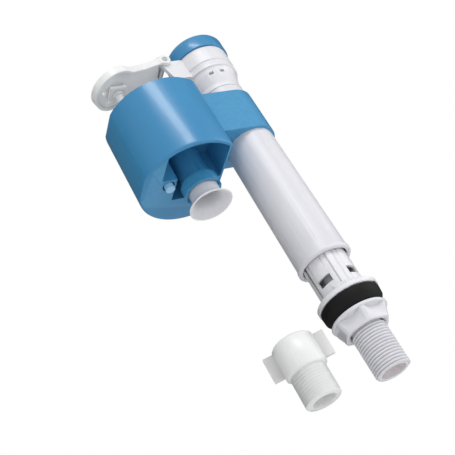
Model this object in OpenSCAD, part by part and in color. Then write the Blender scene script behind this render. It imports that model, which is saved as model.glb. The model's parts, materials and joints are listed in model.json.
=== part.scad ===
// Bottom-entry delayed-action float valve for a toilet cistern, G1/2 shank, with its loose spigot adaptor.
// Millimetres, +Z up the riser. The origin is on the shank axis at the flange's seat face.
// The float chamber and the lever arm point to -X.

/* [Shank] */
// Crest diameter of the G1/2 thread
thread_d = 20.956; // [16:0.001:30]
// Length of the shank below the seat face
shank_len = 47.5; // [34:0.5:70]
// How far the shank's crests are cut back under the nut and washer, on the radius
hidden_relief = 0.23; // [0.2:0.01:0.5]
// Bore of the shank
shank_bore_d = 15.2; // [10:0.1:16.5]
// Diameter of the seat flange
flange_d = 37.8; // [30:0.1:50]
// Thickness of the seat flange
flange_t = 3.2; // [2:0.1:5]

/* [Washer and nut] */
// Thickness of the rubber washer
washer_t = 10.3; // [4:0.1:14]
// Diameter of the washer at its upper face
washer_d = 37; // [30:0.1:48]
// Diameter of the washer at its lower face
washer_low_d = 31; // [26:0.1:44]
// Height of the back nut
nut_h = 10.2; // [6:0.1:16]
// Diameter of the back nut's flange
nut_flange_d = 34.8; // [30:0.1:46]
// Diameter of the back nut's body between its ribs
nut_body_d = 27.2; // [24.5:0.1:30]
// Number of grip ribs on the back nut
nut_ribs = 6; // [4:1:8]

/* [Lower tube] */
// Height of the lower tube above the seat face
lower_h = 105; // [80:1:140]
// Diameter of the lower tube over its ribs
lower_d = 27.7; // [24:0.1:30]
// Depth of the panels between the ribs
panel_depth = 0.7; // [0.3:0.1:1.2]
// Wall of the lower tube under the panels
lower_wall = 1.5; // [1:0.1:2.5]
// Height of the outlet windows' middle above the seat face
window_z = 13; // [9:0.5:20]
// Height of the outlet windows
window_h = 5; // [4.2:0.1:8]
// Width of the outlet windows
window_w = 9.5; // [5:0.1:12]
// Angle of the front rib about the riser's axis
rib_turn = -107; // [-180:1:180]

/* [Supply pipes] */
// Outside diameter of the fixed inlet pipe
inlet_d = 13; // [10:0.1:15]
// Wall of the fixed inlet pipe
inlet_wall = 1.5; // [1:0.1:2]
// Height of the fixed inlet pipe's top above the seat face
inlet_top = 118; // [95:1:150]
// Height of the drop pipe's lower end above the seat face
drop_low = 38; // [30:1:60]
// Wall of the drop pipe
drop_wall = 1.6; // [1.2:0.1:2.4]
// Section diameter of the pipe O-ring
o_ring_d = 1.44; // [1:0.02:1.8]

/* [Riser] */
// Height of the riser's lower lip above the seat face
riser_low = 27; // [22:0.5:40]
// Height of the riser's top above the seat face
riser_top = 166; // [150:1:200]
// Outside diameter of the riser near its lower lip
riser_low_d = 32.8; // [31:0.1:38]
// Outside diameter of the riser near its top
riser_top_d = 31.4; // [30.4:0.1:36]
// Bore of the riser
riser_bore_d = 28.5; // [28.3:0.1:30]
// Travel of the riser up the lower tube
riser_travel = 60; // [20:1:70]

/* [Head] */
// Height of the head's top rim above the riser's top
head_h = 38; // [32:0.5:50]
// Diameter of the head at its upper body
head_d = 39.2; // [36:0.1:46]
// Wall of the head
head_wall = 2; // [1.4:0.1:3]
// Bore of the valve seat
seat_bore_d = 11; // [8:0.1:13]
// Diameter of the cap
cap_d = 41.6; // [40:0.1:50]
// Height of the cap's skirt
cap_h = 11; // [9:0.1:14]
// Diameter of the cap's raised middle
cap_middle_d = 30; // [20:0.5:36]
// Twist that frees the cap's bayonet lugs
cap_turn = 30; // [26:1:35]

/* [Arm] */
// Distance of the arm's pivot from the riser's axis
pivot_x = 29.5; // [27:0.1:32]
// Height of the arm's pivot below the head's rim
pivot_drop = 4.5; // [4:0.1:7]
// Diameter of the pivot pin
pin_d = 3.1; // [2.4:0.1:4]
// Droop of the arm when the cistern is empty
arm_droop = 13; // [8:0.5:15]
// Thickness of the arm's plate
arm_t = 2.4; // [1.8:0.1:3.2]
// Diameter of the arm's round end
arm_end_d = 32; // [26:0.5:38]
// Width of the arm at its fork
fork_w = 25.4; // [24.4:0.1:30]
// Height of the arm's edge ribs
arm_rib_h = 5; // [3:0.1:7]

/* [Float chamber] */
// Distance of the chamber's middle from the riser's axis
chamber_x = 50; // [46:0.5:58]
// Diameter of the chamber
chamber_d = 68; // [60:0.5:80]
// Height of the chamber's lower edge above the seat face
chamber_low = 105; // [95:0.5:115]
// Height of the chamber
chamber_h = 55; // [46:0.5:70]
// Wall of the chamber
chamber_wall = 2; // [1.4:0.1:3]
// Half the angle taken by the flat at the chamber's outer end
flat_half = 15.5; // [10:0.5:24]
// Distance of the chamber's flat back wall from the riser's axis
back_x = 29.5; // [26:0.1:32]
// Radius of the chamber's back corners
corner_r = 3; // [2.5:0.1:6]
// Height of the sleeve on the riser
sleeve_h = 33.4; // [24:0.1:44]
// Wall of the sleeve
sleeve_wall = 1.8; // [1.4:0.1:3.2]
// How far the sleeve's top lies below the chamber's rim
sleeve_drop = 1.6; // [0.5:0.1:4]
// Height of the pocket under the chamber's floor
pocket_h = 21; // [14:0.5:28]
// Distance of the pocket's deep end from the riser's axis
pocket_deep_x = 71; // [62:0.5:74]
// How far the pocket reaches past the check valve's axis, along +Y
pocket_side_y = 13.5; // [12.5:0.1:18]

/* [Float and screw] */
// Distance of the level screw from the riser's axis
screw_x = 65.7; // [62:0.1:70]
// Diameter of the level screw's lower post
post_d = 5.8; // [5:0.1:6.6]
// Crest diameter of the level screw's thread
screw_d = 4.9; // [4:0.1:5.2]
// How far the post stands out below the chamber's floor
post_out = 3; // [1:0.5:8]
// Adjustment that the level screw gives the float
float_travel = 8; // [4:0.5:10]
// Gap between the float and the chamber's wall
float_gap = 2.4; // [1.5:0.1:4]
// Height of the float
float_h = 20; // [12:0.5:24]
// Wall of the float
float_wall = 1.6; // [1:0.1:2.4]

/* [Check valve] */
// Distance of the check valve from the riser's axis
check_x = 46.7; // [44:0.1:50]
// Outside diameter of the collar round the check valve
collar_d = 23.4; // [20:0.1:26]
// Height of the collar
collar_h = 7; // [5:0.1:10]
// Diameter of the cup's body
cup_d = 18.6; // [15:0.1:21]
// Diameter of the cup's flared mouth
cup_mouth_d = 27.6; // [22:0.1:32]
// Height of the cup
cup_h = 14; // [10:0.1:18]
// Travel of the cup up to its seat
check_travel = 2.4; // [1.5:0.1:2.6]

/* [Adaptor] */
// Distance of the adaptor's axis from the shank's axis, along -X
adaptor_x = 40.3; // [38:0.1:60]
// Distance of the adaptor's axis from the shank's axis, along +Y
adaptor_y = 10.8; // [-20:0.1:30]
// Depth of the adaptor's lower end below the seat face
adaptor_end = 46.5; // [30:0.5:60]
// Length of the adaptor's spigot
spigot_len = 17.9; // [12:0.1:26]
// Diameter of the adaptor's body
adaptor_d = 24.4; // [23:0.1:30]
// Height of the adaptor's body
adaptor_h = 19.6; // [14:0.1:26]
// Minor diameter of the adaptor's G1/2 socket
socket_d = 18.63; // [17:0.01:22]
// Threaded depth of the adaptor's socket
socket_len = 11; // [8:0.1:15]
// Diameter over the adaptor's wings
wing_span = 36.4; // [30:0.1:44]
// Height of the adaptor's wings
wing_h = 15; // [8:0.1:18]

/* [Hidden] */
$fn = 96;
eps = 0.01;
// running clearance of pins and turning pieces, and the gap between pieces that only stand inside one another
run_gap = 0.05;
seat_gap = 0.1;
slide_gap = 0.35;

thread_r = thread_d / 2;
nut_top = -washer_t - 0.1;
nut_low = nut_top - nut_h;
nut_bore_r = thread_r + 0.12;
end_chamfer = 0.6;

lower_r = lower_d / 2;
panel_r = lower_r - panel_depth;
lower_bore_r = panel_r - lower_wall;
inlet_r = inlet_d / 2;
socket_boss_top = flange_t + 14;
socket_boss_r = inlet_r + run_gap + 2;
ledge_z = 1;
rib_count = 4;
rib_w = 4.4;

drop_bore_r = inlet_r + slide_gap;
drop_r = drop_bore_r + drop_wall;
drop_top = riser_top + 6;
bell_r = drop_r + 1.2;
bell_h = 8;
gland_r = inlet_r + o_ring_d + 0.35;
gland_h = o_ring_d + 1.2;
gland_z = drop_low + 2.5;

riser_bore_r = riser_bore_d / 2;
riser_low_r = riser_low_d / 2;
riser_top_r = riser_top_d / 2;
lip_h = 4;
lip_out = 0.6;

head_top = riser_top + head_h;
head_r = head_d / 2;
neck_ring_r = riser_top_r + 0.3;
neck_h = 3;
spigot_low = riser_top - 12;
socket_top = drop_top + seat_gap;
tube_r = drop_r + seat_gap + 1.8;
upper_tube_r = seat_bore_d / 2 + 2.4;
rim_r = head_r - 1.2;
rim_h = 4;
seat_z = head_top - 0.4;
lug_h = 1.8;
lug_span = 24;
lug_count = 3;
lug_in = 0.85;
head_o_r = 0.55;
head_o_groove = 2 * head_o_r;
head_o_half = head_o_r + 0.4;
head_o_z = riser_top - 1;

diaphragm_t = 1.3;
diaphragm_r = rim_r - 0.4;
diaphragm_bead = 7.4;
pilot_r = 13.5;
pilot_h = 3;
metering_x = 11;
metering_r = 0.45;

cap_r = cap_d / 2;
cap_low = head_top - rim_h;
cap_top = cap_low + cap_h;
cap_bore_r = rim_r + lug_in + 0.25;
cap_inner_z = head_top + diaphragm_t + 0.15;
nozzle_z = cap_top - 4.4;
nozzle_r = 1.8;
nozzle_out = 1.8;
nozzle_tip = cap_r + nozzle_out;

pivot_z = head_top - pivot_drop;
pin_r = pin_d / 2;
pin_hole_r = pin_r + run_gap;
ear_r = 3.4;
ear_in = 7.4;
ear_out = 10;
ear_depth = 17;
cheek_in = ear_out + slide_gap;
fork_r = fork_w / 2;
pin_len = fork_w + 1.2;
arm_len = (screw_x - pivot_x) / cos(arm_droop);
arm_end_r = arm_end_d / 2;
fork_mouth = ear_r + 1.4;
seal_r = 2.6;
seal_t = 1.7;
seal_gap = 0.25;
leg_face = pivot_x - nozzle_tip - seal_gap - seal_t;
leg_t = 2.8;
tongue_half = 5.4;
clip_z = pivot_z - arm_len * sin(arm_droop);

chamber_r = chamber_d / 2;
chamber_top = chamber_low + chamber_h;
flat_x = chamber_r * cos(flat_half);
sleeve_bore_r = riser_top_r + seat_gap;
sleeve_r = sleeve_bore_r + 0.1 + sleeve_wall;
sleeve_top = chamber_top - sleeve_drop;
sleeve_low = sleeve_top - sleeve_h;
ceiling_z = chamber_low + pocket_h;
pocket_x = check_x + collar_d / 2 + 2.6;
pocket_step_y = 5;
guide_r = post_d / 2 + slide_gap;
guide_mouth_r = guide_r + 0.7;
boss_r = guide_mouth_r + 1;
guide_top = ceiling_z + chamber_wall;

clip_half = 5.5;
clip_neck = 3.2;
clip_t = 2.4;
clip_rise = arm_t / 2 / cos(arm_droop) + clip_half * tan(arm_droop) + 0.4;
screw_r = screw_d / 2;
screw_neck_r = 2;
post_r = post_d / 2;
post_low = chamber_low - post_out;
knob_r = 5.2;
knob_h = 6;
screw_collar_r = 3.6;

float_r = chamber_r - chamber_wall - float_gap;
float_low = ceiling_z + chamber_wall + float_gap;
float_top = float_low + float_h;
hub_r = screw_r + seat_gap + 1.6;
hub_low = float_low;
stem_top = hub_low + 3;
screw_low = stem_top + float_travel + 0.4;

cup_r = cup_d / 2;
cup_mouth_r = cup_mouth_d / 2;
collar_r = collar_d / 2;
collar_low = chamber_low - 1.7 - collar_h;
collar_top = collar_low + collar_h;
collar_bore_r = cup_r + slide_gap;
neck_r = collar_r - 2.4;
neck_bore_r = neck_r - 1.8;
cup_top = collar_low + 3;
cup_low = cup_top - cup_h;
cup_wall = 1.4;
stem_r = 2.4;
spider_z = collar_top + 4;
spider_t = 2;
stem_barb_r = 3.1;
outlet_r = 4.4;
check_seal_r = 6;
check_seal_t = 2;
check_seal_top = ceiling_z - check_travel - 0.3;

adaptor_low = -adaptor_end;
adaptor_waist = adaptor_low + spigot_len;
adaptor_top = adaptor_waist + adaptor_h;
adaptor_bore_r = 7;
wing_t = 2.2;
wing_low = adaptor_waist + 3;
wing_turn = -25;
adaptor_washer_t = 2;
undercut_r = socket_d / 2 + 0.4;
undercut_h = adaptor_washer_t + 0.3;

blue = [0.20, 0.50, 0.74];
pale_blue = [0.58, 0.78, 0.94];
white = [0.88, 0.88, 0.90];
natural = [0.84, 0.85, 0.84];
black = [0.13, 0.13, 0.13];
grey_rubber = [0.25, 0.25, 0.26];
steel = [0.70, 0.71, 0.73];
pink = [0.86, 0.74, 0.72];

// a ring or tube standing on the Z axis
module ring(ro, ri, z0, z1) {
    translate([0, 0, z0])
        difference() {
            cylinder(r = ro, h = z1 - z0);
            translate([0, 0, -1])
                cylinder(r = ri, h = z1 - z0 + 2);
        }
}

// a disc standing on the Z axis
module disc(r, z0, z1) {
    translate([0, 0, z0])
        cylinder(r = r, h = z1 - z0);
}

// a round ring of section radius a about the Z axis
module torus(r, a, z) {
    translate([0, 0, z])
        rotate_extrude()
            translate([r, 0])
                circle(r = a, $fn = 48);
}

// copies of a piece at equal angles about the Z axis
module around(count, start = 0) {
    for (i = [0 : count - 1])
        rotate([0, 0, start + i * 360 / count])
            children();
}

// an outline in the XZ plane given a thickness along Y, between y0 and y1
module slab(y0, y1) {
    translate([0, y1, 0])
        rotate([90, 0, 0])
            linear_extrude(height = y1 - y0)
                children();
}

module lower_tube() {
    color(white) {
        difference() {
            union() {
                // crests of the free thread, then the stretch that the nut and washer hide
                translate([0, 0, -shank_len])
                    cylinder(r1 = thread_r - end_chamfer, r2 = thread_r, h = end_chamfer);
                disc(thread_r, -shank_len + end_chamfer - eps, nut_low - 0.3);
                disc(thread_r - hidden_relief, nut_low - 0.3 - eps, 1);
                rotate_extrude()
                    polygon([[0, 0], [flange_d / 2 - 0.5, 0], [flange_d / 2, 0.5], [flange_d / 2, flange_t - 0.6],
                             [flange_d / 2 - 0.6, flange_t], [lower_r + 1.2, flange_t], [lower_r + 1.2, flange_t + 1.6],
                             [lower_r + 0.5, flange_t + 1.6], [lower_r + 0.5, flange_t + 3.2],
                             [panel_r, flange_t + 3.2], [0, flange_t + 3.2]]);
                ring(panel_r, lower_bore_r, flange_t, lower_h);
                around(rib_count, rib_turn)
                    intersection() {
                        ring(lower_r, panel_r - 0.5, flange_t, lower_h);
                        translate([0, -rib_w / 2, flange_t])
                            cube([lower_r + 1, rib_w, lower_h]);
                    }
            }
            // the well between the outer tube and the boss
            translate([0, 0, flange_t])
                difference() {
                    cylinder(r = lower_bore_r, h = lower_h);
                    translate([0, 0, -1])
                        cylinder(r = socket_boss_r, h = socket_boss_top - flange_t + 1);
                }
            disc(inlet_r + run_gap, ledge_z, lower_h);
            disc(inlet_r - inlet_wall, -5, ledge_z + 1);
            disc(shank_bore_d / 2, -shank_len - 1, -4);
            around(rib_count, rib_turn + 45)
                translate([socket_boss_r + 1, -window_w / 2, window_z - window_h / 2])
                    cube([lower_r, window_w, window_h]);
        }
    }
}

module inlet_pipe() {
    color(white)
        ring(inlet_r, inlet_r - inlet_wall, ledge_z + run_gap, inlet_top);
}

module flow_restrictor() {
    color(pink)
        difference() {
            union() {
                disc(shank_bore_d / 2 - seat_gap, -41, -38);
                disc(shank_bore_d / 2 - 0.8, -38 - eps, -30);
            }
            disc(3.4, -42, -33);
            disc(2.2, -34, -29);
        }
}

module inlet_strainer() {
    color(natural)
        difference() {
            union() {
                disc(shank_bore_d / 2 - seat_gap, -29.8, -28);
                disc(5, -28 - eps, -8);
            }
            disc(4, -31, -9.2);
            for (k = [0 : 5])
                around(8)
                    translate([2, -0.6, -26.5 + k * 2.8])
                        cube([5, 1.2, 1.8]);
        }
}

module rubber_washer() {
    color(black)
        rotate_extrude()
            polygon([[thread_r + 0.3, -run_gap], [washer_d / 2 - 0.8, -run_gap], [washer_d / 2, -1],
                     [washer_d / 2 - 0.4, -washer_t * 0.55], [washer_low_d / 2, -washer_t + 0.5],
                     [washer_low_d / 2 - 0.6, -washer_t], [thread_r + 0.3, -washer_t]]);
}

module back_nut() {
    color(white)
        difference() {
            union() {
                rotate_extrude()
                    polygon([[0, nut_top], [nut_flange_d / 2 - 0.5, nut_top], [nut_flange_d / 2, nut_top - 0.5],
                             [nut_flange_d / 2, nut_top - 1.7], [nut_flange_d / 2 - 0.6, nut_top - 2.2],
                             [nut_body_d / 2, nut_top - 3], [nut_body_d / 2, nut_low + 0.6],
                             [nut_body_d / 2 - 0.6, nut_low], [0, nut_low]]);
                around(nut_ribs, 12)
                    slab(-1.3, 1.3)
                        polygon([[nut_body_d / 2 - 1.5, nut_low + 0.3], [nut_body_d / 2 + 1, nut_low + 0.3],
                                 [nut_flange_d / 2 - 0.4, nut_top - 3.4], [nut_flange_d / 2 - 0.4, nut_top - 1.2],
                                 [nut_body_d / 2 - 1.5, nut_top - 1.2]]);
            }
            disc(nut_bore_r, nut_low - 1, nut_top + 1);
            translate([0, 0, nut_low - eps])
                cylinder(r1 = nut_bore_r + 0.7, r2 = nut_bore_r, h = 0.7);
        }
}

module riser_tube() {
    color(white)
        rotate_extrude()
            polygon([[riser_bore_r + 0.5, riser_low], [riser_low_r + lip_out - 0.8, riser_low],
                     [riser_low_r + lip_out, riser_low + 0.9], [riser_low_r + lip_out, riser_low + lip_h - 1.4],
                     [riser_low_r, riser_low + lip_h], [riser_top_r, sleeve_low - 2], [riser_top_r, riser_top],
                     [riser_bore_r, riser_top], [riser_bore_r, riser_low + 0.8]]);
}

module drop_pipe() {
    color(white)
        rotate_extrude()
            polygon([[drop_bore_r, drop_low], [bell_r, drop_low], [bell_r, drop_low + bell_h - 1],
                     [drop_r, drop_low + bell_h], [drop_r, head_o_z - head_o_half],
                     [drop_r - head_o_groove, head_o_z - head_o_half], [drop_r - head_o_groove, head_o_z + head_o_half],
                     [drop_r, head_o_z + head_o_half], [drop_r, drop_top], [drop_bore_r, drop_top],
                     [drop_bore_r, gland_z + gland_h], [gland_r, gland_z + gland_h], [gland_r, gland_z],
                     [drop_bore_r, gland_z]]);
}

module pipe_o_ring() {
    color(black)
        torus(inlet_r + 0.12 + o_ring_d / 2, o_ring_d / 2, gland_z + gland_h / 2);
}

module head_o_ring() {
    color(black)
        torus(drop_r - head_o_r + seat_gap / 2, head_o_r, head_o_z);
}

// outline of the head's shell from the neck to the rim, moved in by d
function head_side(d) = [
    [neck_ring_r - d, riser_top + neck_h], [riser_top_r - 0.1 - d, riser_top + neck_h + 1],
    [head_r - 2.8 - d, head_top - 28], [head_r - 1.4 - d, head_top - 22.4], [head_r - 0.3 - d, head_top - 21.8],
    [head_r - 0.3 - d, head_top - 20.4], [head_r - 1.1 - d, head_top - 19.8], [head_r - 0.9 - d, head_top - 16.8],
    [head_r - d, head_top - 16.2], [head_r - d, cap_low - 0.3]];

module head_ears() {
    for (s = [-1, 1])
        difference() {
            slab(s > 0 ? ear_in : -ear_out, s > 0 ? ear_out : -ear_in)
                union() {
                    polygon([[-head_r + 6.2, cap_low - ear_depth], [-head_r + 4.4, cap_low - 0.3], [-pivot_x, cap_low - 0.3],
                             [-pivot_x - ear_r, pivot_z], [-pivot_x + 1.5, cap_low - ear_depth]]);
                    translate([-pivot_x, pivot_z])
                        circle(r = ear_r);
                }
            translate([-pivot_x, 0, pivot_z])
                rotate([90, 0, 0])
                    cylinder(r = pin_hole_r, h = 2 * ear_out + 2, center = true);
        }
}

module valve_head() {
    color(white) {
        difference() {
            union() {
                rotate_extrude()
                    polygon(concat([[0, riser_top + seat_gap], [neck_ring_r, riser_top + seat_gap]], head_side(0),
                                   [[rim_r, cap_low - 0.3], [rim_r, head_top], [0, head_top]]));
                disc(riser_bore_r - seat_gap, spigot_low, riser_top + 1);
                around(lug_count, 60 - lug_span / 2)
                    translate([0, 0, cap_low + 1.9])
                        rotate_extrude(angle = lug_span)
                            translate([rim_r - 0.5, 0])
                                square([lug_in + 0.5, lug_h]);
            }
            // the water way, open from the seat down to the riser, with the central tube left standing
            difference() {
                rotate_extrude()
                    polygon(concat([[0, spigot_low - 1], [riser_bore_r - seat_gap - 1.6, spigot_low - 1],
                                    [riser_bore_r - seat_gap - 1.6, riser_top + neck_h - 1]],
                                   [for (p = head_side(head_wall)) if (p[1] > riser_top + neck_h) p],
                                   [[rim_r - 2.4, cap_low], [rim_r - 2.4, head_top + 1], [0, head_top + 1]]));
                disc(tube_r, spigot_low - 2, socket_top + 2);
                disc(upper_tube_r, spigot_low, seat_z);
                around(4, 45)
                    translate([0, -0.9, riser_top + 4])
                        cube([head_r, 1.8, head_top - riser_top - 12]);
                translate([-metering_x, 0, riser_top + 4])
                    cylinder(r = 1.6, h = head_top - riser_top - 7);
                translate([-head_r, -0.9, riser_top + 4])
                    cube([head_r, 1.8, head_top - riser_top - 12]);
            }
            disc(drop_r + seat_gap, spigot_low - 3, socket_top);
            disc(seat_bore_d / 2, spigot_low, head_top + 1);
            translate([-metering_x, 0, head_top - 8])
                cylinder(r = metering_r + run_gap, h = 9);
            // snap windows in the shell
            for (a = [-112, -86, 68, 94])
                rotate([0, 0, a])
                    translate([head_r - 5, -1.6, head_top - 27])
                        cube([8, 3.2, 1.8]);
        }
        head_ears();
    }
}

module diaphragm() {
    color(grey_rubber)
        difference() {
            union() {
                disc(diaphragm_r, head_top + run_gap, head_top + diaphragm_t);
                disc(diaphragm_bead, seat_z + 0.15, head_top + diaphragm_t + 0.9);
            }
            translate([-metering_x, 0, head_top - 1])
                cylinder(r = metering_r + 0.15, h = 4);
        }
}

module metering_pin() {
    color(steel)
        translate([-metering_x, 0, head_top - 7.8])
            cylinder(r = metering_r, h = 10.6, $fn = 32);
}

module cap() {
    color(blue)
        difference() {
            union() {
                rotate_extrude()
                    polygon([[0, cap_low], [cap_r - 0.3, cap_low], [cap_r, cap_low + 0.3], [cap_r, cap_top - 1.6],
                             [cap_r - 0.5, cap_top - 0.5], [cap_r - 1.6, cap_top], [cap_middle_d / 2 + 0.6, cap_top],
                             [cap_middle_d / 2 - 0.4, cap_top + 1.2], [0, cap_top + 1.6]]);
                translate([0, 0, nozzle_z])
                    rotate([0, -90, 0])
                        cylinder(r = nozzle_r, h = nozzle_tip);
            }
            disc(cap_bore_r, cap_low + 1.7, cap_inner_z);
            difference() {
                disc(cap_bore_r, cap_low - 1, cap_low + 2);
                around(lug_count, 60 - lug_span / 2)
                    translate([0, 0, cap_low])
                        rotate_extrude(angle = lug_span)
                            translate([rim_r + 0.25, 0])
                                square([3, 1.7]);
            }
            disc(pilot_r, cap_inner_z - 1, cap_inner_z + pilot_h);
            translate([0, 0, nozzle_z])
                rotate([0, -90, 0])
                    cylinder(r = 0.6, h = nozzle_tip + 1, $fn = 24);
        }
}

module pivot_pin() {
    color(steel)
        translate([-pivot_x, 0, pivot_z])
            rotate([90, 0, 0])
                cylinder(r = pin_r, h = pin_len, center = true);
}

// the arm drawn level, with its pivot at the origin and its round end towards -X
module arm_outline(d) {
    difference() {
        union() {
            translate([-arm_len, 0])
                circle(r = arm_end_r - d);
            polygon([[0, -fork_r + d], [0, fork_r - d], [-arm_len * 0.45, fork_r - 1.2 - d],
                     [-arm_len, arm_end_r - 2.5 - d], [-arm_len, -arm_end_r + 2.5 + d],
                     [-arm_len * 0.45, -fork_r + 1.2 + d]]);
        }
        translate([-fork_mouth, -cheek_in])
            square([fork_mouth + 1, 2 * cheek_in]);
    }
}

module lever_arm() {
    color(natural)
        translate([-pivot_x, 0, pivot_z])
            rotate([0, -arm_droop, 0])
                difference() {
                    union() {
                        translate([0, 0, -arm_t / 2])
                            linear_extrude(height = arm_t)
                                arm_outline(0);
                        // edge ribs that hang below and stand above the plate
                        translate([0, 0, -arm_t / 2 - 1])
                            linear_extrude(height = arm_rib_h)
                                difference() {
                                    arm_outline(0);
                                    arm_outline(1.8);
                                    translate([-fork_mouth - 2.4, -cheek_in])
                                        square([fork_mouth + 4, 2 * cheek_in]);
                                }
                        for (s = [-1, 1])
                            translate([0, s > 0 ? fork_r : -cheek_in, 0])
                                rotate([90, 0, 0])
                                    cylinder(r = ear_r + 0.4, h = fork_r - cheek_in);
                        // tongue over the pivot pin, and the leg that carries the pilot seal
                        slab(-tongue_half, tongue_half)
                            polygon([[-fork_mouth - 1, -arm_t / 2], [-fork_mouth - 1, 4.8], [leg_face - leg_t, 5.4],
                                     [leg_face - leg_t, nozzle_z - pivot_z + 3], [leg_face, nozzle_z - pivot_z + 3],
                                     [leg_face, 2.5], [-fork_mouth + 1, 2.5], [-fork_mouth + 1, -arm_t / 2]]);
                        translate([-arm_len, -arm_end_r + 5, arm_t / 2 - eps])
                            cylinder(r = 3, h = 2.2);
                    }
                    rotate([90, 0, 0])
                        cylinder(r = pin_hole_r, h = pin_len + 2, center = true);
                    // slot for the clip, and the two lightening holes of the round end
                    translate([-arm_len - clip_neck - 1.6, -clip_neck - 0.6, -arm_rib_h])
                        cube([2 * clip_neck + 3.2, 2 * clip_neck + 1.2, 3 * arm_rib_h]);
                    translate([-arm_len - 7.2, 0, -arm_rib_h])
                        linear_extrude(height = 3 * arm_rib_h)
                            polygon([[0, -2.6], [0, 2.6], [-4.4, 0]]);
                    translate([-arm_len - 4.4, arm_end_r - 5.2, -arm_rib_h])
                        linear_extrude(height = 3 * arm_rib_h)
                            union() {
                                circle(r = 1.5, $fn = 32);
                                translate([0, -1.5])
                                    square([4.4, 3]);
                                translate([4.4, 0])
                                    circle(r = 1.5, $fn = 32);
                            }
                }
}

module pilot_seal() {
    color(black)
        translate([-pivot_x, 0, pivot_z])
            rotate([0, -arm_droop, 0])
                translate([leg_face + run_gap, 0, nozzle_z - pivot_z])
                    rotate([0, 90, 0])
                        cylinder(r = seal_r, h = seal_t - run_gap);
}

module screw_clip() {
    color(natural)
        translate([-screw_x, 0, clip_z])
            difference() {
                union() {
                    for (s = [-1, 1])
                        translate([-clip_half, -clip_half, s > 0 ? clip_rise : -clip_rise - clip_t])
                            cube([2 * clip_half, 2 * clip_half, clip_t]);
                    translate([-clip_neck, -clip_neck, -clip_rise - 1])
                        cube([2 * clip_neck, 2 * clip_neck, 2 * clip_rise + 2]);
                }
                disc(screw_neck_r + run_gap, -clip_rise - clip_t - 1, clip_rise + clip_t + 1);
            }
}

module guide_stem() {
    color(pale_blue)
        translate([-screw_x, 0, 0]) {
            disc(post_r, post_low, hub_low - run_gap);
            disc(screw_r + seat_gap - run_gap, hub_low - 1, stem_top);
        }
}

module level_screw() {
    color(natural)
        translate([-screw_x, 0, 0]) {
            disc(screw_r, screw_low, clip_z - clip_rise - clip_t - 2);
            disc(screw_collar_r, clip_z - clip_rise - clip_t - 2.2, clip_z - clip_rise - clip_t - 0.2);
            disc(screw_neck_r, clip_z - clip_rise - clip_t - 1, clip_z + clip_rise + clip_t + 1);
            difference() {
                disc(knob_r, clip_z + clip_rise + clip_t + 0.2, clip_z + clip_rise + clip_t + knob_h);
                around(8)
                    translate([knob_r + 0.6, 0, clip_z + clip_rise + clip_t - 1])
                        cylinder(r = 1.3, h = knob_h + 2, $fn = 32);
                translate([-knob_r, -0.6, clip_z + clip_rise + clip_t + knob_h - 1.4])
                    cube([2 * knob_r, 1.2, 2]);
            }
        }
}

// the chamber's outline, moved in by d: a round with an outer flat, a flat back and rounded back corners
module chamber_outline(d) {
    r = chamber_r - d;
    back = chamber_x - back_x - d;
    turn = max(corner_r - d, 0.8);
    corner = [back - turn, sqrt(pow(r - turn, 2) - pow(back - turn, 2))];
    edge = corner * 1.1 * r / (r - turn);
    translate([-chamber_x, 0]) {
        difference() {
            intersection() {
                circle(r = r);
                translate([-flat_x + d, -r])
                    square([flat_x - d + back, 2 * r]);
            }
            for (s = [-1, 1])
                polygon([[corner[0], s * corner[1]], [back + 1, s * corner[1]], [back + 1, s * (r + 1)],
                         [edge[0], s * edge[1]]]);
        }
        for (s = [-1, 1])
            translate([corner[0], s * corner[1]])
                circle(r = turn);
    }
}

// the pocket under the chamber, grown by d: it takes the -Y side and stops short of the guide's boss
module pocket_outline(d) {
    difference() {
        intersection() {
            chamber_outline(chamber_wall);
            union() {
                translate([-pocket_deep_x - d, -chamber_d])
                    square([chamber_d, chamber_d - pocket_step_y + d]);
                translate([-pocket_x - d, -chamber_d])
                    square([chamber_d, chamber_d + pocket_side_y + d]);
            }
        }
        translate([-screw_x, 0])
            circle(r = boss_r - d / 2);
    }
}

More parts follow.
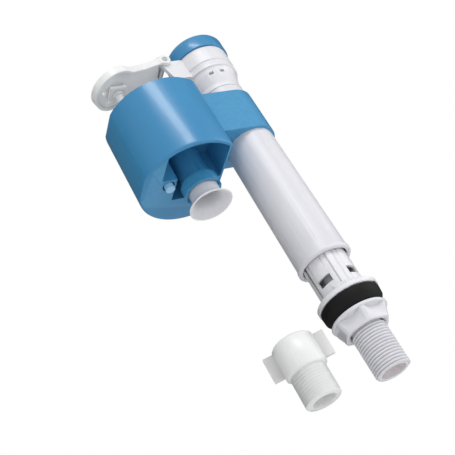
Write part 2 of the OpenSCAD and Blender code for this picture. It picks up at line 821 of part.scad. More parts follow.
module float_chamber() {
    color(blue) {
        difference() {
            union() {
                translate([0, 0, chamber_low])
                    linear_extrude(height = chamber_h)
                        chamber_outline(0);
                // the sleeve that grips the riser, and the flat-sided neck that joins it to the chamber
                translate([0, 0, sleeve_low])
                    linear_extrude(height = sleeve_h)
                        difference() {
                            union() {
                                circle(r = sleeve_r);
                                translate([-back_x - 1, -sleeve_r])
                                    square([back_x + 1, 2 * sleeve_r]);
                            }
                            circle(r = sleeve_bore_r);
                        }
            }
            // the water space over the pocket, and the deep well beside it
            translate([0, 0, ceiling_z + chamber_wall])
                linear_extrude(height = chamber_h)
                    chamber_outline(chamber_wall);
            translate([0, 0, chamber_low + chamber_wall])
                linear_extrude(height = chamber_h)
                    difference() {
                        chamber_outline(chamber_wall);
                        pocket_outline(chamber_wall);
                        translate([-screw_x, 0])
                            circle(r = boss_r);
                    }
            translate([0, 0, chamber_low - 1])
                linear_extrude(height = pocket_h + 1)
                    pocket_outline(0);
            // the neck is cored out from above
            translate([0, 0, sleeve_low + chamber_wall])
                linear_extrude(height = chamber_h)
                    difference() {
                        translate([-back_x, chamber_wall - sleeve_r])
                            square([back_x - 12, 2 * (sleeve_r - chamber_wall)]);
                        circle(r = sleeve_r);
                    }
            translate([-screw_x, 0, 0]) {
                disc(guide_r, chamber_low - 1, guide_top + 1);
                disc(guide_mouth_r, chamber_low - 1, chamber_low + 2.5);
            }
            translate([-check_x, 0, 0])
                disc(outlet_r, ceiling_z - 1, ceiling_z + chamber_wall + 1);
        }
        // neck, collar and spider that guide the check cup, and the web that ties them to the back wall
        difference() {
            union() {
                translate([-check_x, 0, 0]) {
                    disc(neck_r, collar_top - 1, ceiling_z + eps);
                    disc(collar_r, collar_low, collar_top);
                }
                translate([-check_x, -1, chamber_low])
                    cube([check_x - back_x - 0.5, 2, ceiling_z - chamber_low + eps]);
            }
            translate([-check_x, 0, 0]) {
                disc(collar_bore_r, collar_low - 1, collar_top - 1.2);
                disc(neck_bore_r, collar_top - 2, spider_z);
                disc(neck_bore_r, spider_z + spider_t, ceiling_z);
                disc(stem_r + slide_gap, spider_z - 1, spider_z + spider_t + 1);
                around(4)
                    translate([neck_bore_r - 1.7, 0, spider_z - 1])
                        cylinder(r = 1.4, h = spider_t + 2, $fn = 32);
                for (a = [-35, 145])
                    rotate([0, 0, a])
                        translate([collar_bore_r - 1, -2.6, collar_low - 1])
                            cube([4, 5.2, 3.2]);
            }
        }
    }
}

module float() {
    color(white)
        difference() {
            union() {
                difference() {
                    translate([0, 0, float_low])
                        linear_extrude(height = float_h)
                            chamber_outline(chamber_wall + float_gap);
                    // the open-bottomed air cell
                    translate([0, 0, float_low - 1])
                        linear_extrude(height = float_h - float_wall + 1)
                            chamber_outline(chamber_wall + float_gap + float_wall);
                }
                translate([-screw_x, 0, 0])
                    disc(hub_r, hub_low, float_top - eps);
            }
            translate([-screw_x, 0, 0])
                disc(screw_r + seat_gap, hub_low - 1, float_top + 1);
        }
}

module check_cup() {
    color(white)
        translate([-check_x, 0, 0]) {
            rotate_extrude()
                polygon([[0, cup_top], [cup_r - 0.6, cup_top], [cup_r, cup_top - 0.6], [cup_r, cup_low + 6.4],
                         [cup_r + 0.7, cup_low + 4], [cup_mouth_r - 0.5, cup_low + 0.8], [cup_mouth_r, cup_low + 0.3],
                         [cup_mouth_r - 0.3, cup_low], [cup_mouth_r - 1.3, cup_low],
                         [cup_r - cup_wall + 1, cup_low + 3.4], [cup_r - cup_wall, cup_low + 5.6],
                         [cup_r - cup_wall, cup_top - cup_wall], [0, cup_top - cup_wall]]);
            disc(stem_r, cup_top - 0.5, check_seal_top - check_seal_t - 0.1);
            rotate_extrude()
                polygon([[0, spider_z + spider_t + 0.15], [stem_barb_r, spider_z + spider_t + 0.15],
                         [stem_r, spider_z + spider_t + 1.6], [0, spider_z + spider_t + 1.6]]);
        }
}

module check_seal() {
    color(black)
        translate([-check_x, 0, 0])
            disc(check_seal_r, check_seal_top - check_seal_t, check_seal_top);
}

module adaptor() {
    color(natural)
        translate([-adaptor_x, adaptor_y, 0])
            difference() {
                union() {
                    translate([0, 0, adaptor_low])
                        cylinder(r1 = thread_r - end_chamfer, r2 = thread_r, h = end_chamfer);
                    disc(thread_r, adaptor_low + end_chamfer - eps, adaptor_waist + eps);
                    rotate_extrude()
                        polygon([[0, adaptor_waist], [adaptor_d / 2 - 1.2, adaptor_waist],
                                 [adaptor_d / 2, adaptor_waist + 1.2], [adaptor_d / 2, adaptor_top - 1],
                                 [adaptor_d / 2 - 1, adaptor_top], [0, adaptor_top]]);
                    around(2, wing_turn)
                        translate([adaptor_d / 2 - 2, -wing_t / 2, wing_low])
                            cube([wing_span / 2 - adaptor_d / 2 + 2, wing_t, wing_h]);
                }
                disc(adaptor_bore_r, adaptor_low - 1, adaptor_top - 1);
                disc(socket_d / 2, adaptor_top - socket_len, adaptor_top + 1);
                disc(undercut_r, adaptor_top - socket_len - undercut_h, adaptor_top - socket_len + eps);
            }
}

module adaptor_washer() {
    color(black)
        translate([-adaptor_x, adaptor_y, 0])
            ring(undercut_r - seat_gap, adaptor_bore_r - 0.5, adaptor_top - socket_len - undercut_h + run_gap,
                 adaptor_top - socket_len - undercut_h + adaptor_washer_t);
}

lower_tube();
inlet_pipe();
flow_restrictor();
inlet_strainer();
rubber_washer();
back_nut();
riser_tube();
drop_pipe();
pipe_o_ring();
head_o_ring();
valve_head();
diaphragm();
metering_pin();
cap();
pivot_pin();
lever_arm();
pilot_seal();
screw_clip();
level_screw();
guide_stem();
float();
float_chamber();
check_cup();
check_seal();
adaptor();
adaptor_washer();
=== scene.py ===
import json
import math

import bmesh
import bpy
from mathutils import Matrix, Quaternion, Vector


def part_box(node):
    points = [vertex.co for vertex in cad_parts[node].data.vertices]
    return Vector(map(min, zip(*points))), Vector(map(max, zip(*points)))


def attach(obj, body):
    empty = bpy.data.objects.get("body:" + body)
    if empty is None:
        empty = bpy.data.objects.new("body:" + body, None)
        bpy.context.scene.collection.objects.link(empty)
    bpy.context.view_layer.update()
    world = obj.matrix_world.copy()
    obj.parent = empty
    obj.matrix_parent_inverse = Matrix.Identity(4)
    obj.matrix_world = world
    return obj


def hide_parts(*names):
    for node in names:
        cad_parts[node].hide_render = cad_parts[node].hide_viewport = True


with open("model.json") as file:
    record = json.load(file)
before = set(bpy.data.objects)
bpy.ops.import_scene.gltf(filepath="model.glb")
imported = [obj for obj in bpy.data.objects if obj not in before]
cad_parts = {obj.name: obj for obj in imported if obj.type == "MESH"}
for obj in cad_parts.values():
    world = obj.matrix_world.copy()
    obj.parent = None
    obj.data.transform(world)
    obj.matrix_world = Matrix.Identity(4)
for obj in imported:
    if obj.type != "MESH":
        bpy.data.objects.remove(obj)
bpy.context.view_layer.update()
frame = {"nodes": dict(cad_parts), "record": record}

MM = 0.001
NODES = frame["nodes"]
BODY_OF = {n: b for b, names in frame["record"]["behaviour"]["bodies"].items() for n in names}
SLOT_OF = {s["node"]: s["material_slot"] for s in frame["record"]["subparts"]}

# ---------------------------------------------------------------- sizes

ORIGIN = Vector((0, 0, 0))

# The thread's form: the shares of half a pitch that the root's flat and the flank take.
THREAD_PITCH = 1.814 * MM
THREAD_CREST = 10.478 * MM
THREAD_ROOT = 9.32 * MM
ROOT_FLAT, FLANK = 0.14, 0.62
THREAD_END_CHAMFER = 0.6 * MM
THREAD_BLUNT = 0.1 * MM   # how far into its chamfer a thread starts
SHARP_END = 0.01 * MM     # a chamfer so short that the thread ends at full depth
THREAD_SIDES, THREAD_ROWS = 112, 12

# The shank. Its plain crest is drawn in to a core, and the thread is a skin round that core.
SHANK_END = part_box("lower_tube")[0].z
SHANK_OUTSIDE = 9.5 * MM
SHANK_CORE = THREAD_ROOT - 0.1 * MM
SHANK_SKIN_BORE = 9.0 * MM
NUT_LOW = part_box("back_nut")[0].z
SHANK_DRAWN_IN = (SHANK_END - MM, NUT_LOW + 0.1 * MM)
SHANK_THREAD_TOP = NUT_LOW - 0.3 * MM

# The adaptor's spigot, which is almost smooth.
ADAPTOR_LOW, ADAPTOR_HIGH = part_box("adaptor")
ADAPTOR_AXIS = Vector(((ADAPTOR_LOW.x + ADAPTOR_HIGH.x) / 2, (ADAPTOR_LOW.y + ADAPTOR_HIGH.y) / 2, 0))
ADAPTOR_WAIST = ADAPTOR_LOW.z + 17.9 * MM
SPIGOT_RIDGE = 0.06 * MM
SPIGOT_THREAD_LOW = ADAPTOR_LOW.z + MM
SPIGOT_THREAD_TOP = ADAPTOR_WAIST - 0.4 * MM
SPIGOT_RUN_OUT = 1.2 * MM

# The back nut. Its radii are given in the hollows and over the ribs.
NUT_BORE = 10.62 * MM
NUT_FLANGE = 2.0 * MM
NUT_HOLLOW_R = 13.3 * MM
NUT_RIB_R = 14.4 * MM
NUT_RIB_INSET = 0.7 * MM   # from the flange's rim to the ribs' upper ends
NUT_RIBS = 6
NUT_TURN = math.radians(-112)
NUT_RIB_FLAT = 0.13        # share of the way from a rib to a hollow that the rib's crest takes
NUT_RIB_FALL = 2.4         # how steeply the hollows fall away from the ribs
NUT_FILLET = 1.3 * MM
NUT_FILLET_INSET = 0.9 * MM
NUT_RIM_ROUND = 0.8 * MM
NUT_RIM_HEIGHT = 0.999     # of the flange's height, so that the rim's end rings stay clear of its flat faces
NUT_END_ROUND = ((0.0, 0.7 * MM), (0.2 * MM, 0.2 * MM))   # height over the free end, depth under the outline
NUT_END_TOP = 0.6 * MM
NUT_BORE_CHAMFER = 0.7 * MM
NUT_MOUTH_WIDTH, NUT_MOUTH_DEPTH = 0.3 * MM, 0.4 * MM
NUT_SIDES, NUT_ROWS, NUT_RIM_STEPS = 264, 25, 8

# How the CAD shapes are cleaned, and how far their sharp edges are rounded.
WELD = 0.002 * MM
LEVEL = 0.01 * MM
FLAT_ANGLE = math.radians(0.8)
SHARP_ANGLE = math.radians(32)
CHAMBER_RIM_ROUND = 1.5 * MM
TUBE_EDGE = CHAMBER_EDGE = 0.35 * MM
INNER_EDGE = 0.12 * MM
OUTER_EDGES = {"rubber_washer": 0.5 * MM, "riser_tube": 0.3 * MM, "valve_head": 0.25 * MM, "cap": 0.35 * MM,
               "lever_arm": 0.45 * MM, "screw_clip": 0.3 * MM, "level_screw": 0.3 * MM, "float": 0.5 * MM}
INNER_NODES = ("guide_stem", "inlet_pipe", "drop_pipe", "flow_restrictor", "inlet_strainer", "diaphragm",
               "pilot_seal", "check_seal", "adaptor_washer", "pivot_pin", "metering_pin")

# The stage, the lights and the camera, in metres.
FLOOR_LEVEL, FLOOR_REACH, FLOOR_GLOW = -0.62, 4.0, 0.25
FLOOR_COLOUR = (0.92, 0.92, 0.92)
DOME_RADIUS = 6.0
WORLD_LIGHT, WORLD_DARK = 0.72, 0.10
WORLD_FALL = (-0.3, 0.6)
DARK_SIDE = Vector((0.20, 0.85, 0.45)).normalized()
MIDDLE = Vector((-0.03, 0.0, 0.09))
KEY_WAY = Vector((-0.05, -0.79, 0.60)).normalized()
KEY_AWAY = 2.6
SOFTBOXES = (   # name, place from the middle, width and height, watts, roll
    ("key_strip", KEY_WAY * KEY_AWAY, (0.50, 1.6), 25.0, math.radians(45)),
    ("side_fill", Vector((0.95, -0.45, 0.10)), (0.6, 0.9), 2.4, 0.0),
    ("low_fill", Vector((0.25, -0.60, -0.80)), (0.5, 0.5), 2.6, 0.0),
    ("top_fill", Vector((0.0, 0.1, 1.0)), (0.9, 0.9), 1.5, 0.0),
)
CAMERA_PLACE = Vector((-0.2819, -0.3748, -0.1986))
CAMERA_AIM = Vector((-0.0298, 0.0240, 0.0842))
CAMERA_ROLL = math.radians(30.25)
CAMERA_LENS = 71.2
SENSOR_WIDTH = 36
CLIP_START, CLIP_END = 0.02, 20

# ---------------------------------------------------------------- materials


class Shader:
    """A small helper that adds and joins shader nodes. Noise scales are per metre of the object's own frame."""

    def __init__(self, name):
        self.material = bpy.data.materials.new(name)
        self.material.use_nodes = True
        self.tree = self.material.node_tree
        self.tree.nodes.clear()
        self.out = self.add("OutputMaterial")
        self.bsdf = self.add("BsdfPrincipled")
        self.join(self.bsdf, "BSDF", self.out, "Surface")
        self.place = self.add("TexCoord")

    def add(self, kind, **values):
        node = self.tree.nodes.new("ShaderNode" + kind)
        for key, value in values.items():
            setattr(node, key, value)
        return node

    def join(self, a, out, b, into):
        self.tree.links.new(a.outputs[out], b.inputs[into])

    def noise(self, scale, detail=3.0, roughness=0.55, stretch=(1, 1, 1)):
        mapping = self.add("Mapping")
        mapping.inputs["Scale"].default_value = stretch
        self.join(self.place, "Object", mapping, "Vector")
        node = self.add("TexNoise")
        node.inputs["Scale"].default_value = scale
        node.inputs["Detail"].default_value = detail
        node.inputs["Roughness"].default_value = roughness
        self.join(mapping, "Vector", node, "Vector")
        return node

    def ramp(self, source, out, stops):
        node = self.add("ValToRGB")
        ramp = node.color_ramp
        ramp.elements[0].position, ramp.elements[0].color = stops[0][0], (*stops[0][1], 1)
        ramp.elements[1].position, ramp.elements[1].color = stops[-1][0], (*stops[-1][1], 1)
        for position, colour in stops[1:-1]:
            ramp.elements.new(position).color = (*colour, 1)
        self.join(source, out, node, "Fac")
        return node

    def span(self, source, out, low, high, from_low=0.0, from_high=1.0):
        node = self.add("MapRange")
        node.inputs["From Min"].default_value = from_low
        node.inputs["From Max"].default_value = from_high
        node.inputs["To Min"].default_value = low
        node.inputs["To Max"].default_value = high
        self.join(source, out, node, "Value")
        return node

    def mix(self, factor, factor_out, a, b, blend="MIX"):
        """a and b are (node, output) or a colour."""
        node = self.add("Mix", data_type="RGBA", blend_type=blend)
        if factor is None:
            node.inputs["Factor"].default_value = factor_out
        else:
            self.tree.links.new(factor.outputs[factor_out], node.inputs["Factor"])
        for value, place in ((a, 6), (b, 7)):
            if isinstance(value[0], (int, float)):
                node.inputs[place].default_value = (*value, 1)
            else:
                self.tree.links.new(value[0].outputs[value[1]], node.inputs[place])
        return node

    def bumps(self, parts):
        """Chains bump nodes; parts are (node, output, strength, distance)."""
        last = None
        for node, out, strength, distance in parts:
            bump = self.add("Bump")
            bump.inputs["Strength"].default_value = strength
            bump.inputs["Distance"].default_value = distance
            self.join(node, out, bump, "Height")
            if last:
                self.join(last, "Normal", bump, "Normal")
            last = bump
        self.join(last, "Normal", self.bsdf, "Normal")


def shade(colour, factor):
    """The colour made darker or lighter by a factor."""
    return tuple(min(1.0, c * factor) for c in colour)


def moulded(name, colour, rough, wear, subsurface=0.0, glow=(1, 0.6, 0.4), depth=1.5, coat=0.0):
    """Injection-moulded plastic: flow clouds, a fine spark-eroded skin, scuffs, worn edges and painted shade
    darkening its creases and hollows. Depth is in mm.
    """
    s = Shader(name)
    clouds = s.noise(38, 4, 0.6)
    flow = s.noise(30, 5, 0.65, stretch=(1, 1, 0.18))
    skin = s.noise(5200, 2, 0.5)
    scuffs = s.noise(420, 5, 0.7)
    tone = s.ramp(clouds, "Fac", [(0.28, shade(colour, 0.97)), (0.52, colour), (0.78, shade(colour, 1.025))])
    streaks = s.ramp(flow, "Fac", [(0.35, (0.97, 0.97, 0.97)), (0.65, (1, 1, 1))])
    body = s.mix(None, 0.6, (tone, "Color"), (streaks, "Color"), "MULTIPLY")
    edge = s.add("NewGeometry")
    worn = s.ramp(edge, "Pointiness", [(0.515, (0, 0, 0)), (0.56, (1, 1, 1))])
    broken = s.mix(None, 1.0, (worn, "Color"), (scuffs, "Fac"), "MULTIPLY")
    # painted shade: creases and hollows, where the pointiness is low, are darkened to 0.82 of their colour
    painted_hollow_shade = s.ramp(edge, "Pointiness", [(0.44, (0.82, 0.82, 0.82)), (0.495, (1, 1, 1))])
    aged = s.mix(broken, 2, (body, 2), wear)
    done = s.mix(None, 1.0, (aged, 2), (painted_hollow_shade, "Color"), "MULTIPLY")
    s.join(done, 2, s.bsdf, "Base Color")
    patches = s.ramp(scuffs, "Fac", [(0.40, (0, 0, 0)), (0.72, (1, 1, 1))])
    gloss = s.span(patches, "Color", rough * 0.94, min(1.0, rough * 1.2))
    s.join(gloss, "Result", s.bsdf, "Roughness")
    ripple = s.noise(160, 2, 0.5)
    s.bumps([(ripple, "Fac", 0.05, 0.08 * MM), (skin, "Fac", 0.35, 0.006 * MM), (scuffs, "Fac", 0.03, 0.01 * MM)])
    s.bsdf.inputs["IOR"].default_value = 1.49
    s.bsdf.inputs["Coat Weight"].default_value = coat
    s.bsdf.inputs["Coat Roughness"].default_value = 0.12
    s.bsdf.inputs["Subsurface Weight"].default_value = subsurface
    s.bsdf.inputs["Subsurface Radius"].default_value = glow
    s.bsdf.inputs["Subsurface Scale"].default_value = depth * MM
    return s.material


def rubber(name, colour):
    """Moulded rubber: matt skin with bloom, dust and a fine grain."""
    s = Shader(name)
    bloom = s.noise(140, 5, 0.7)
    grain = s.noise(3600, 3, 0.6)
    dust = s.noise(900, 5, 0.8)
    tone = s.ramp(bloom, "Fac", [(0.3, shade(colour, 0.75)), (0.55, colour), (0.8, shade(colour, 1.7))])
    specks = s.ramp(dust, "Fac", [(0.66, (0, 0, 0)), (0.8, (1, 1, 1))])
    done = s.mix(specks, "Color", (tone, "Color"), shade(colour, 3.0))
    s.join(done, 2, s.bsdf, "Base Color")
    gloss = s.span(bloom, "Fac", 0.48, 0.72)
    s.join(gloss, "Result", s.bsdf, "Roughness")
    s.bumps([(bloom, "Fac", 0.3, 0.1 * MM), (grain, "Fac", 0.5, 0.03 * MM)])
    s.bsdf.inputs["Specular IOR Level"].default_value = 0.25
    return s.material


def wire(name):
    """Drawn stainless wire with fine marks along its length."""
    s = Shader(name)
    lines = s.noise(900, 4, 0.6, stretch=(1, 0.05, 1))
    tone = s.ramp(lines, "Fac", [(0.3, (0.50, 0.51, 0.53)), (0.7, (0.74, 0.75, 0.77))])
    s.join(tone, "Color", s.bsdf, "Base Color")
    gloss = s.span(lines, "Fac", 0.22, 0.42)
    s.join(gloss, "Result", s.bsdf, "Roughness")
    s.bumps([(lines, "Fac", 0.3, 0.02 * MM)])
    s.bsdf.inputs["Metallic"].default_value = 1.0
    return s.material


LOOKS = {
    "blue_plastic": moulded("blue_moulding", (0.030, 0.235, 0.480), 0.30, (0.08, 0.34, 0.58),
                            subsurface=0.04, glow=(0.3, 0.8, 1.0), coat=0.2),
    "pale_blue_plastic": moulded("pale_blue_moulding", (0.30, 0.60, 0.88), 0.36, (0.5, 0.75, 0.92),
                                 subsurface=0.15, glow=(0.5, 0.9, 1.0)),
    "white_plastic": moulded("white_moulding", (0.735, 0.735, 0.775), 0.36, (0.86, 0.86, 0.88),
                             subsurface=0.30, glow=(1.0, 0.95, 0.95)),
    "natural_plastic": moulded("natural_moulding", (0.84, 0.85, 0.85), 0.34, (0.90, 0.90, 0.89),
                               subsurface=0.6, glow=(1.0, 1.0, 1.0), depth=3.0),
    "pink_plastic": moulded("pink_moulding", (0.80, 0.55, 0.50), 0.42, (0.85, 0.66, 0.62), subsurface=0.2),
    "black_rubber": rubber("black_rubber", (0.004, 0.004, 0.004)),
    "grey_rubber": rubber("grey_rubber", (0.06, 0.06, 0.065)),
    "steel": wire("steel_wire"),
}

# ---------------------------------------------------------------- mesh tools


def put(name, bm, node, smooth_angle=35):
    """Makes an object of a bmesh, in the row frame, riding with a CAD node's body and standing for it."""
    mesh = bpy.data.meshes.new(name)
    bm.to_mesh(mesh)
    bm.free()
    o = bpy.data.objects.new(name, mesh)
    bpy.context.scene.collection.objects.link(o)
    mesh.shade_smooth()
    mesh.set_sharp_from_angle(angle=math.radians(smooth_angle))
    mesh.materials.append(LOOKS[SLOT_OF[node]])
    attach(o, BODY_OF[node])
    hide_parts(node)
    return o


def cad_copy(node):
    """The CAD node's shape as clean faces: doubles joined, flat faces made whole."""
    bm = bmesh.new()
    bm.from_mesh(NODES[node].data)
    bmesh.ops.remove_doubles(bm, verts=bm.verts, dist=WELD)
    bmesh.ops.dissolve_limit(bm, angle_limit=FLAT_ANGLE, verts=bm.verts, edges=bm.edges)
    return bm


def round_edges(o, width):
    """Rounds every sharp edge of an object."""
    bevel = o.modifiers.new("edges", "BEVEL")
    bevel.width = width
    bevel.segments = 3
    bevel.limit_method = "ANGLE"
    bevel.angle_limit = SHARP_ANGLE
    bevel.harden_normals = True
    bevel.use_clamp_overlap = True
    bevel.miter_outer = "MITER_ARC"


def moulding(node, width, change=None):
    """A CAD node rebuilt as a moulding. A width of 0 leaves its edges sharp."""
    bm = cad_copy(node)
    if change:
        change(bm)
    o = put(node + "_moulding", bm, node)
    if width:
        round_edges(o, width)


def turn_down(axis, over, low, high, to):
    """Draws in the vertices that lie outside a radius between two heights."""
    def change(bm):
        for v in bm.verts:
            flat = Vector((v.co.x - axis.x, v.co.y - axis.y, 0))
            if low <= v.co.z <= high and flat.length > over:
                flat = flat.normalized() * to
                v.co.x, v.co.y = axis.x + flat.x, axis.y + flat.y
    return change


def round_lower_rim(bm):
    """Rounds the widest level edge loop between an upright wall and a face that looks down."""
    def is_lower_rim(edge):
        return (abs(edge.verts[0].co.z - edge.verts[1].co.z) < LEVEL
                and any(f.normal.z < -0.9 for f in edge.link_faces)
                and any(abs(f.normal.z) < 0.2 for f in edge.link_faces))

    def width(loop):
        xs = [v.co.x for e in loop for v in e.verts]
        return max(xs) - min(xs)

    left = {e for e in bm.edges if is_lower_rim(e)}
    loops = []
    while left:
        loop, front = [], [left.pop()]
        while front:
            edge = front.pop()
            loop.append(edge)
            near = {e for v in edge.verts for e in v.link_edges if e in left}
            left -= near
            front += near
        loops.append(loop)
    bmesh.ops.bevel(bm, geom=max(loops, key=width), offset=CHAMBER_RIM_ROUND, segments=6, profile=0.5,
                    affect="EDGES", clamp_overlap=False)


def round_of(axis, z, radius, sides):
    """Points on a round at a height. The radius is a function of the angle."""
    return [axis + Vector((radius(a) * math.cos(a), radius(a) * math.sin(a), z))
            for a in (2 * math.pi * k / sides for k in range(sides))]


def grid_skin(rings, closed):
    """A mesh of the faces between rings of points, which are closed rounds."""
    bm = bmesh.new()
    rows = [[bm.verts.new(p) for p in ring] for ring in rings]
    if closed:
        rows.append(rows[0])
    for a, b in zip(rows, rows[1:]):
        for k in range(len(a)):
            bm.faces.new((a[k], a[(k + 1) % len(a)], b[(k + 1) % len(b)], b[k]))
    return bm


def smooth(t):
    """An ease from 0 to 1, level at both ends."""
    t = min(1.0, max(0.0, t))
    return t * t * (3 - 2 * t)


# ---------------------------------------------------------------- the pieces


def tooth(share):
    """Height of a thread's profile, 0 at the root and 1 at the crest, over one pitch."""
    slope = min(share, 1 - share) * 2
    return min(1.0, max(0.0, (slope - ROOT_FLAT) / FLANK))


def thread(axis, root, crest, low, high, chamfer_low, chamfer_high, inner=None):
    """A helical thread as a skin round an axis, its ends run out to the root, with a wall inside if asked."""
    count = int((high - low) / THREAD_PITCH * THREAD_ROWS)
    rings = []
    for i in range(count + 1):
        z = low + (high - low) * i / count
        room = min(1.0, (z - low + THREAD_BLUNT) / chamfer_low, (high - z + THREAD_BLUNT) / chamfer_high)

        def radius(a):
            share = ((z - low) / THREAD_PITCH - a / (2 * math.pi)) % 1.0
            return root + (crest - root) * min(tooth(share), room)

        rings.append(round_of(axis, z, radius, THREAD_SIDES))
    if inner is not None:
        wall = [round_of(axis, z, lambda a: inner, THREAD_SIDES) for z in (low, high)]
        rings = [wall[0], *rings, wall[1]]
    return grid_skin(rings, closed=False)


def make_back_nut():
    """A round flange over a body whose faces are hollow between the grip ribs."""
    low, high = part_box("back_nut")
    rim = high.x
    under = high.z - NUT_FLANGE
    rings = []

    def outside(z, a):
        from_rib = 1 - abs(((a - NUT_TURN) * NUT_RIBS / (2 * math.pi)) % 1.0 - 0.5) * 2
        rib = max(0.0, 1 - max(0.0, from_rib - NUT_RIB_FLAT) / (1 - NUT_RIB_FLAT)) ** NUT_RIB_FALL
        tip = NUT_RIB_R + (rim - NUT_RIB_INSET - NUT_RIB_R) * smooth((z - low.z) / (under - low.z))
        near = max(0.0, 1 - (under - z) / NUT_FILLET)
        fillet = (rim - NUT_FILLET_INSET - NUT_HOLLOW_R) * (1 - math.sqrt(max(0.0, 1 - near * near)))
        return NUT_HOLLOW_R + max((tip - NUT_HOLLOW_R) * rib, fillet)

    def ring(z, radius):
        rings.append(round_of(ORIGIN, z, lambda a: radius(z, a), NUT_SIDES))

    ring(low.z, lambda z, a: NUT_BORE + NUT_BORE_CHAMFER)
    for rise, depth in NUT_END_ROUND:
        ring(low.z + rise, lambda z, a: outside(z, a) - depth)
    start = low.z + NUT_END_TOP
    for i in range(NUT_ROWS + 1):
        ring(start + (under - start) * i / NUT_ROWS, outside)
    for i in range(NUT_RIM_STEPS + 1):
        swing = math.pi * (i / NUT_RIM_STEPS - 0.5)
        ring((high.z + under) / 2 + NUT_FLANGE / 2 * math.sin(swing) * NUT_RIM_HEIGHT,
             lambda z, a: rim - NUT_RIM_ROUND * (1 - math.cos(swing)))
    ring(high.z, lambda z, a: NUT_BORE + NUT_MOUTH_WIDTH)
    ring(high.z - NUT_MOUTH_DEPTH, lambda z, a: NUT_BORE)
    ring(low.z + NUT_BORE_CHAMFER, lambda z, a: NUT_BORE)
    put("back_nut_moulding", grid_skin(rings, closed=True), "back_nut", smooth_angle=50)


moulding("lower_tube", TUBE_EDGE, change=turn_down(ORIGIN, SHANK_OUTSIDE, *SHANK_DRAWN_IN, SHANK_CORE))
put("shank_thread", thread(ORIGIN, THREAD_ROOT, THREAD_CREST, SHANK_END, SHANK_THREAD_TOP,
                           THREAD_END_CHAMFER, SHARP_END, inner=SHANK_SKIN_BORE), "lower_tube")
moulding("adaptor", 0)
put("spigot_thread", thread(ADAPTOR_AXIS, THREAD_CREST - SPIGOT_RIDGE, THREAD_CREST + SPIGOT_RIDGE,
                            SPIGOT_THREAD_LOW, SPIGOT_THREAD_TOP, THREAD_END_CHAMFER, SPIGOT_RUN_OUT), "adaptor")
make_back_nut()
for node, edge in OUTER_EDGES.items():
    moulding(node, edge)
moulding("float_chamber", CHAMBER_EDGE, change=round_lower_rim)
moulding("check_cup", 0)
for node in INNER_NODES:
    moulding(node, INNER_EDGE)
for node in ("pipe_o_ring", "head_o_ring"):
    o_ring = NODES[node]
    o_ring.data.materials.clear()
    o_ring.data.materials.append(LOOKS[SLOT_OF[node]])

# ---------------------------------------------------------------- stage, light and camera


def stand_on_stage(name, bm, material):
    """Makes a stage object of a bmesh."""
    mesh = bpy.data.meshes.new(name)
    bm.to_mesh(mesh)
    bm.free()
    mesh.materials.append(material)
    o = bpy.data.objects.new(name, mesh)
    bpy.context.scene.collection.objects.link(o)
    return o


def make_floor():
    """A wide pale floor, well below, so that the camera may look up past its edge."""
    s = Shader("pale_floor")
    tone = s.ramp(s.noise(3, 2), "Fac", [(0.3, shade(FLOOR_COLOUR, 0.985)), (0.7, FLOOR_COLOUR)])
    s.join(tone, "Color", s.bsdf, "Base Color")
    s.bsdf.inputs["Roughness"].default_value = 0.7
    s.bsdf.inputs["Emission Color"].default_value = (1, 1, 1, 1)
    s.bsdf.inputs["Emission Strength"].default_value = FLOOR_GLOW
    bm = bmesh.new()
    bmesh.ops.create_grid(bm, x_segments=8, y_segments=8, size=FLOOR_REACH)
    stand_on_stage("floor", bm, s.material).location.z = FLOOR_LEVEL


def make_backdrop():
    """A white studio dome behind everything. It is seen, and it neither lights the object nor shows in it."""
    s = Shader("white_backdrop")
    s.bsdf.inputs["Base Color"].default_value = (0, 0, 0, 1)
    s.bsdf.inputs["Specular IOR Level"].default_value = 0
    s.bsdf.inputs["Emission Color"].default_value = (1, 1, 1, 1)
    s.bsdf.inputs["Emission Strength"].default_value = 1.0
    bm = bmesh.new()
    bmesh.ops.create_icosphere(bm, subdivisions=4, radius=DOME_RADIUS)
    o = stand_on_stage("backdrop", bm, s.material)
    o.data.shade_smooth()
    o.visible_diffuse = o.visible_glossy = o.visible_transmission = False
    o.visible_volume_scatter = o.visible_shadow = False


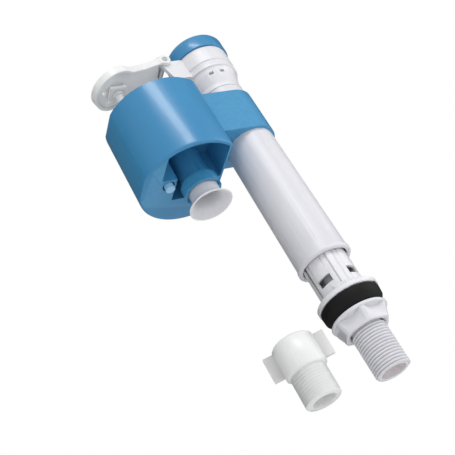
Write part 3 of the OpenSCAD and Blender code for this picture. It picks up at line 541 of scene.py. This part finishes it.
def softbox(name, place, aim, size, power, roll):
    """A soft rectangular lamp, aimed at a point and rolled about its own beam."""
    light = bpy.data.lights.new(name, "AREA")
    light.shape = "RECTANGLE"
    light.size, light.size_y = size
    light.energy = power
    o = bpy.data.objects.new(name, light)
    o.location = place
    o.rotation_mode = "QUATERNION"
    o.rotation_quaternion = (aim - place).to_track_quat("-Z", "Y") @ Quaternion((0, 0, 1), roll)
    bpy.context.scene.collection.objects.link(o)


def make_world():
    """White light from all round, falling off smoothly towards the dark side."""
    world = bpy.data.worlds.new("studio")
    bpy.context.scene.world = world
    world.use_nodes = True
    nodes, links = world.node_tree.nodes, world.node_tree.links
    back = nodes["Background"]
    back.inputs["Color"].default_value = (1, 1, 1, 1)
    place = nodes.new("ShaderNodeTexCoord")
    along = nodes.new("ShaderNodeVectorMath")
    along.operation = "DOT_PRODUCT"
    along.inputs[1].default_value = DARK_SIDE
    fall = nodes.new("ShaderNodeMapRange")
    fall.interpolation_type = "SMOOTHSTEP"
    for key, value in zip(("From Min", "From Max", "To Min", "To Max"), (*WORLD_FALL, WORLD_LIGHT, WORLD_DARK)):
        fall.inputs[key].default_value = value
    links.new(place.outputs["Generated"], along.inputs[0])
    links.new(along.outputs["Value"], fall.inputs["Value"])
    links.new(fall.outputs["Result"], back.inputs["Strength"])


def make_camera(place, aim, roll, lens):
    """A camera at a place, aimed at a point, its up side turned clockwise by the roll."""
    ahead = (aim - place).normalized()
    up = (Vector((0, 0, 1)) - ahead * ahead.z).normalized()
    up_turned = up * math.cos(roll) + ahead.cross(up) * math.sin(roll)
    right = ahead.cross(up_turned)
    data = bpy.data.cameras.new("camera")
    data.lens = lens
    data.sensor_width = SENSOR_WIDTH
    data.clip_start, data.clip_end = CLIP_START, CLIP_END
    o = bpy.data.objects.new("camera", data)
    o.matrix_world = Matrix((right, up_turned, -ahead)).transposed().to_4x4()
    o.location = place
    bpy.context.scene.collection.objects.link(o)
    bpy.context.scene.camera = o


make_floor()
make_backdrop()
make_world()
for name, away, size, power, roll in SOFTBOXES:
    softbox(name, MIDDLE + away, MIDDLE, size, power, roll)
make_camera(CAMERA_PLACE, CAMERA_AIM, CAMERA_ROLL, CAMERA_LENS)
bpy.context.scene.view_settings.view_transform = "Standard"
